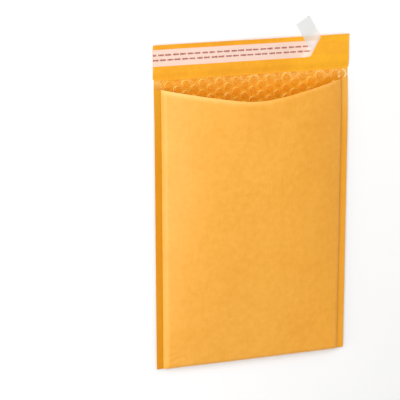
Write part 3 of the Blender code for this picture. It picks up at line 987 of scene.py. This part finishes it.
def dome_material():
    """Film of the bubbles, with painted glints on their walls and tops darkened with painted shade."""
    film = Surface("film_dome")
    weight = film.nodes.new("ShaderNodeLayerWeight")
    weight.inputs["Blend"].default_value = DOME_EDGE_BLEND
    edge_on = film.math("POWER", weight.outputs["Facing"], DOME_EDGE_POWER)
    gloss = film.math("MULTIPLY_ADD", edge_on, DOME_EDGE_GLOSS, DOME_GLOSS)
    # Painted glints on the bubbles' walls, broken up a little
    painted_glint_strength = film.times(film.attribute("painted_glint"), film.ramp(film.noise(**DOME_BREAKS), *DOME_BREAKS_RUN))
    # Redder deeper in the pocket: painted bounced light
    paler = film.ramp(film.split(film.place)[1], *PALER_RUN)
    foot = film.ramp(film.attribute("rise"), *DOME_FOOT_RUN)
    # Tops darker than the feet: painted shade
    body = film.mix(foot, film.mix(paler, *DOME_SHADED_TOP_COLOURS), film.mix(paler, *DOME_FOOT_COLOURS))
    colour = film.mix(film.ramp(painted_glint_strength, *DOME_GLINT_RUN), body, PAINTED_GLINT_COLOUR)
    haze = film.math("MULTIPLY_ADD", painted_glint_strength, DOME_GLINT_HAZE, DOME_HAZE)
    set_film(film, gloss, haze, colour, DOME_ROUGHNESS)
    return film.material


# Looks of the closing strip. The colours of the glue run with its streaks and the liner's with its clouds
GLUE_STREAKS = {"scale": 90.0, "stretch": (0.3, 1.0, 1.0)}
GLUE_COLOURS = ((0.93, 0.43, 0.05), (0.97, 0.50, 0.10))
GLUE_ALPHA = 0.01
GLUE_STREAK_ALPHA = 0.05
GLUE_ROUGHNESS = 0.2
GLUE_SPECULAR = 0.6
GLUE_BUMP = (0.2, 0.0003)

# Liner. Its runs go with the distance past the peel line. The rear's grey is partly painted shade, and its
# pink where it rolls over is painted light through and off the printed face
LINER_CLOUD = {"scale": 45.0}
REAR_COLOURS = ((0.60, 0.65, 0.65), (0.64, 0.69, 0.69))
REAR_ROLLED_PAINTED_LIGHT_COLOUR = (0.98, 0.87, 0.83)
REAR_ROLLED_RUN = (0.60 * math.pi * PEEL_RADIUS, 1.50 * math.pi * PEEL_RADIUS, 1.0, 0.0)
REAR_ALPHA = 0.60
REAR_CLOUD_ALPHA = 0.06
REAR_ROLLED_ALPHA = 0.06
REAR_ROUGHNESS = 0.4
REAR_SPECULAR = 0.4

# Its printed face
FACE_COLOURS = ((0.805, 0.600, 0.50), (0.845, 0.655, 0.55))
FACE_ALPHA_RUN = (0.6 * PEEL_RADIUS, 1.6 * PEEL_RADIUS, 0.80, 0.22)
FACE_ROUGHNESS = 0.38
FACE_SPECULAR = 0.45
MARK_COLOUR = (0.31, 0.012, 0.013)
MARK_STRENGTH = 0.95
MARK_ALPHA = 0.18
MARK_END_RUN = (0.95 * PEEL_RADIUS, 1.15 * PEEL_RADIUS, 1.0, 0.0)


def adhesive_material():
    """Clear glue with faint streaks along the strip."""
    glue = Surface("glue")
    streak = glue.noise(**GLUE_STREAKS)
    glue.set(Base_Color=glue.mix(streak, *GLUE_COLOURS), Roughness=GLUE_ROUGHNESS,
             Specular_IOR_Level=GLUE_SPECULAR,
             Alpha=glue.math("MULTIPLY_ADD", streak, GLUE_STREAK_ALPHA, GLUE_ALPHA))
    glue.bump(streak, *GLUE_BUMP)
    return glue.material


def strip_place(surface):
    """Place along and across the flat strip."""
    uv = surface.nodes.new("ShaderNodeUVMap")
    uv.uv_map = "strip"
    return surface.split(uv.outputs["UV"])[:2]


def past_peel(surface, along, side):
    """Distance along the strip's peel direction past the peel line."""
    forward = surface.times(surface.math("SUBTRACT", along, PEEL_START), PEEL_FORWARD[0])
    return surface.math("MULTIPLY_ADD", side, PEEL_FORWARD[1], forward)


def liner_rear_material():
    """Translucent greyish white back of the liner, its grey partly painted shade, and pinkish where it rolls
    over with painted light through and off the printed face.
    """
    rear = Surface("liner_rear")
    cloud = rear.noise(**LINER_CLOUD)
    rolled = rear.ramp(past_peel(rear, *strip_place(rear)), *REAR_ROLLED_RUN)
    alpha = rear.math("MULTIPLY_ADD", cloud, REAR_CLOUD_ALPHA, REAR_ALPHA)
    # Pink where it rolls over: painted light from the printed face
    rear.set(Base_Color=rear.mix(rolled, rear.mix(cloud, *REAR_COLOURS), REAR_ROLLED_PAINTED_LIGHT_COLOUR),
             Alpha=rear.math("MULTIPLY_ADD", rolled, REAR_ROLLED_ALPHA, alpha),
             Roughness=REAR_ROUGHNESS, Specular_IOR_Level=REAR_SPECULAR)
    return rear.material


def row_marks(face, along, side, row, shift):
    """Small strokes of uneven height in groups along one row."""
    moved = face.math("ADD", along, shift - MARK_ORIGIN)
    step = face.math("DIVIDE", moved, STROKE_PITCH)
    chance = face.nodes.new("ShaderNodeTexWhiteNoise")
    chance.noise_dimensions = "1D"
    face.links.new(face.math("ADD", face.math("FLOOR", step), shift * ROW_SEED), chance.inputs["W"])
    tallest = TALLEST_STROKE / 2
    height = face.math("MULTIPLY_ADD", chance.outputs["Value"], (1.0 - SHORTEST_SHARE) * tallest,
                       SHORTEST_SHARE * tallest)
    in_row = face.math("LESS_THAN", face.math("ABSOLUTE", face.math("SUBTRACT", side, row)), height)
    unit = face.math("FRACT", face.math("DIVIDE", moved, MARK_UNIT))
    group = face.largest(*(face.math("COMPARE", unit, middle, half) for middle, half in MARK_GROUPS))
    stroke = face.math("LESS_THAN", face.math("FRACT", step), STROKE_SHARE)
    return face.times(in_row, group, stroke)


def liner_printed_material():
    """Pale pinkish face with groups of small red strokes in two rows, clearer where it lifts."""
    face = Surface("liner_face")
    cloud = face.noise(**LINER_CLOUD)
    along, side = strip_place(face)
    past = past_peel(face, along, side)
    marks = face.largest(*(row_marks(face, along, side, row, shift) for row, shift in MARK_ROWS))
    marks = face.times(marks, face.ramp(past, *MARK_END_RUN))
    paper = face.mix(cloud, *FACE_COLOURS)
    face.set(Base_Color=face.mix(face.times(marks, MARK_STRENGTH), paper, MARK_COLOUR),
             Alpha=face.math("MULTIPLY_ADD", marks, MARK_ALPHA, face.ramp(past, *FACE_ALPHA_RUN)),
             Roughness=FACE_ROUGHNESS, Specular_IOR_Level=FACE_SPECULAR)
    return face.material


# Studio

def make_floor():
    bpy.ops.mesh.primitive_plane_add(size=FLOOR_SIZE, location=(0.0, 0.0, 0.0))
    floor = bpy.context.object
    floor.name = "floor"
    plain = Surface("floor")
    plain.set(Base_Color=FLOOR_COLOUR, Roughness=FLOOR_ROUGHNESS, Specular_IOR_Level=FLOOR_SPECULAR)
    floor.data.materials.append(plain.material)


def area_light(name, place, size, power):
    """Square light that faces the envelope's middle."""
    data = bpy.data.lights.new(name, "AREA")
    data.shape = "SQUARE"
    data.size = size
    data.energy = power
    lamp = bpy.data.objects.new(name, data)
    lamp.location = place
    lamp.rotation_euler = (-Vector(place)).to_track_quat("-Z", "Y").to_euler()
    bpy.context.scene.collection.objects.link(lamp)


def light_scene():
    world = bpy.data.worlds.new("studio")
    world.use_nodes = True
    background = world.node_tree.nodes["Background"]
    background.inputs["Color"].default_value = WORLD_COLOUR
    background.inputs["Strength"].default_value = WORLD_STRENGTH
    bpy.context.scene.world = world
    for name, (place, size, power) in LIGHTS.items():
        area_light(name, place, size, power)


def place_camera():
    seen = (Matrix.Translation(VIEW_OFFSET) @ Matrix.Rotation(VIEW_ROLL, 4, "Z")
            @ Matrix.Rotation(VIEW_PITCH, 4, "X") @ Matrix.Rotation(VIEW_YAW, 4, "Y"))
    data = bpy.data.cameras.new("camera")
    data.sensor_width = SENSOR_MM
    data.lens = VIEW_FOCAL_PX / FRAME_PX * SENSOR_MM
    data.clip_start = CLIP_START
    camera = bpy.data.objects.new("camera", data)
    camera.matrix_world = seen.inverted()
    bpy.context.scene.collection.objects.link(camera)
    bpy.context.scene.camera = camera


def dress(piece, node):
    """Put the piece in its node's place on the body."""
    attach(piece, "root")
    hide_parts(node)


bpy.context.scene.view_settings.view_transform = "Standard"
bpy.context.scene.view_settings.look = "None"
place_camera()
light_scene()
make_floor()

KRAFT_MATERIALS = [kraft_material(name, **look) for name, look in KRAFT_LOOKS.items()]
dress(make_cover(*KRAFT_MATERIALS), "kraft_cover")
dress(make_film(land_material(), dome_material()), "bubble_lining")
dress(make_adhesive(adhesive_material()), "adhesive_strip")
dress(make_liner(liner_printed_material(), liner_rear_material()), "release_liner")
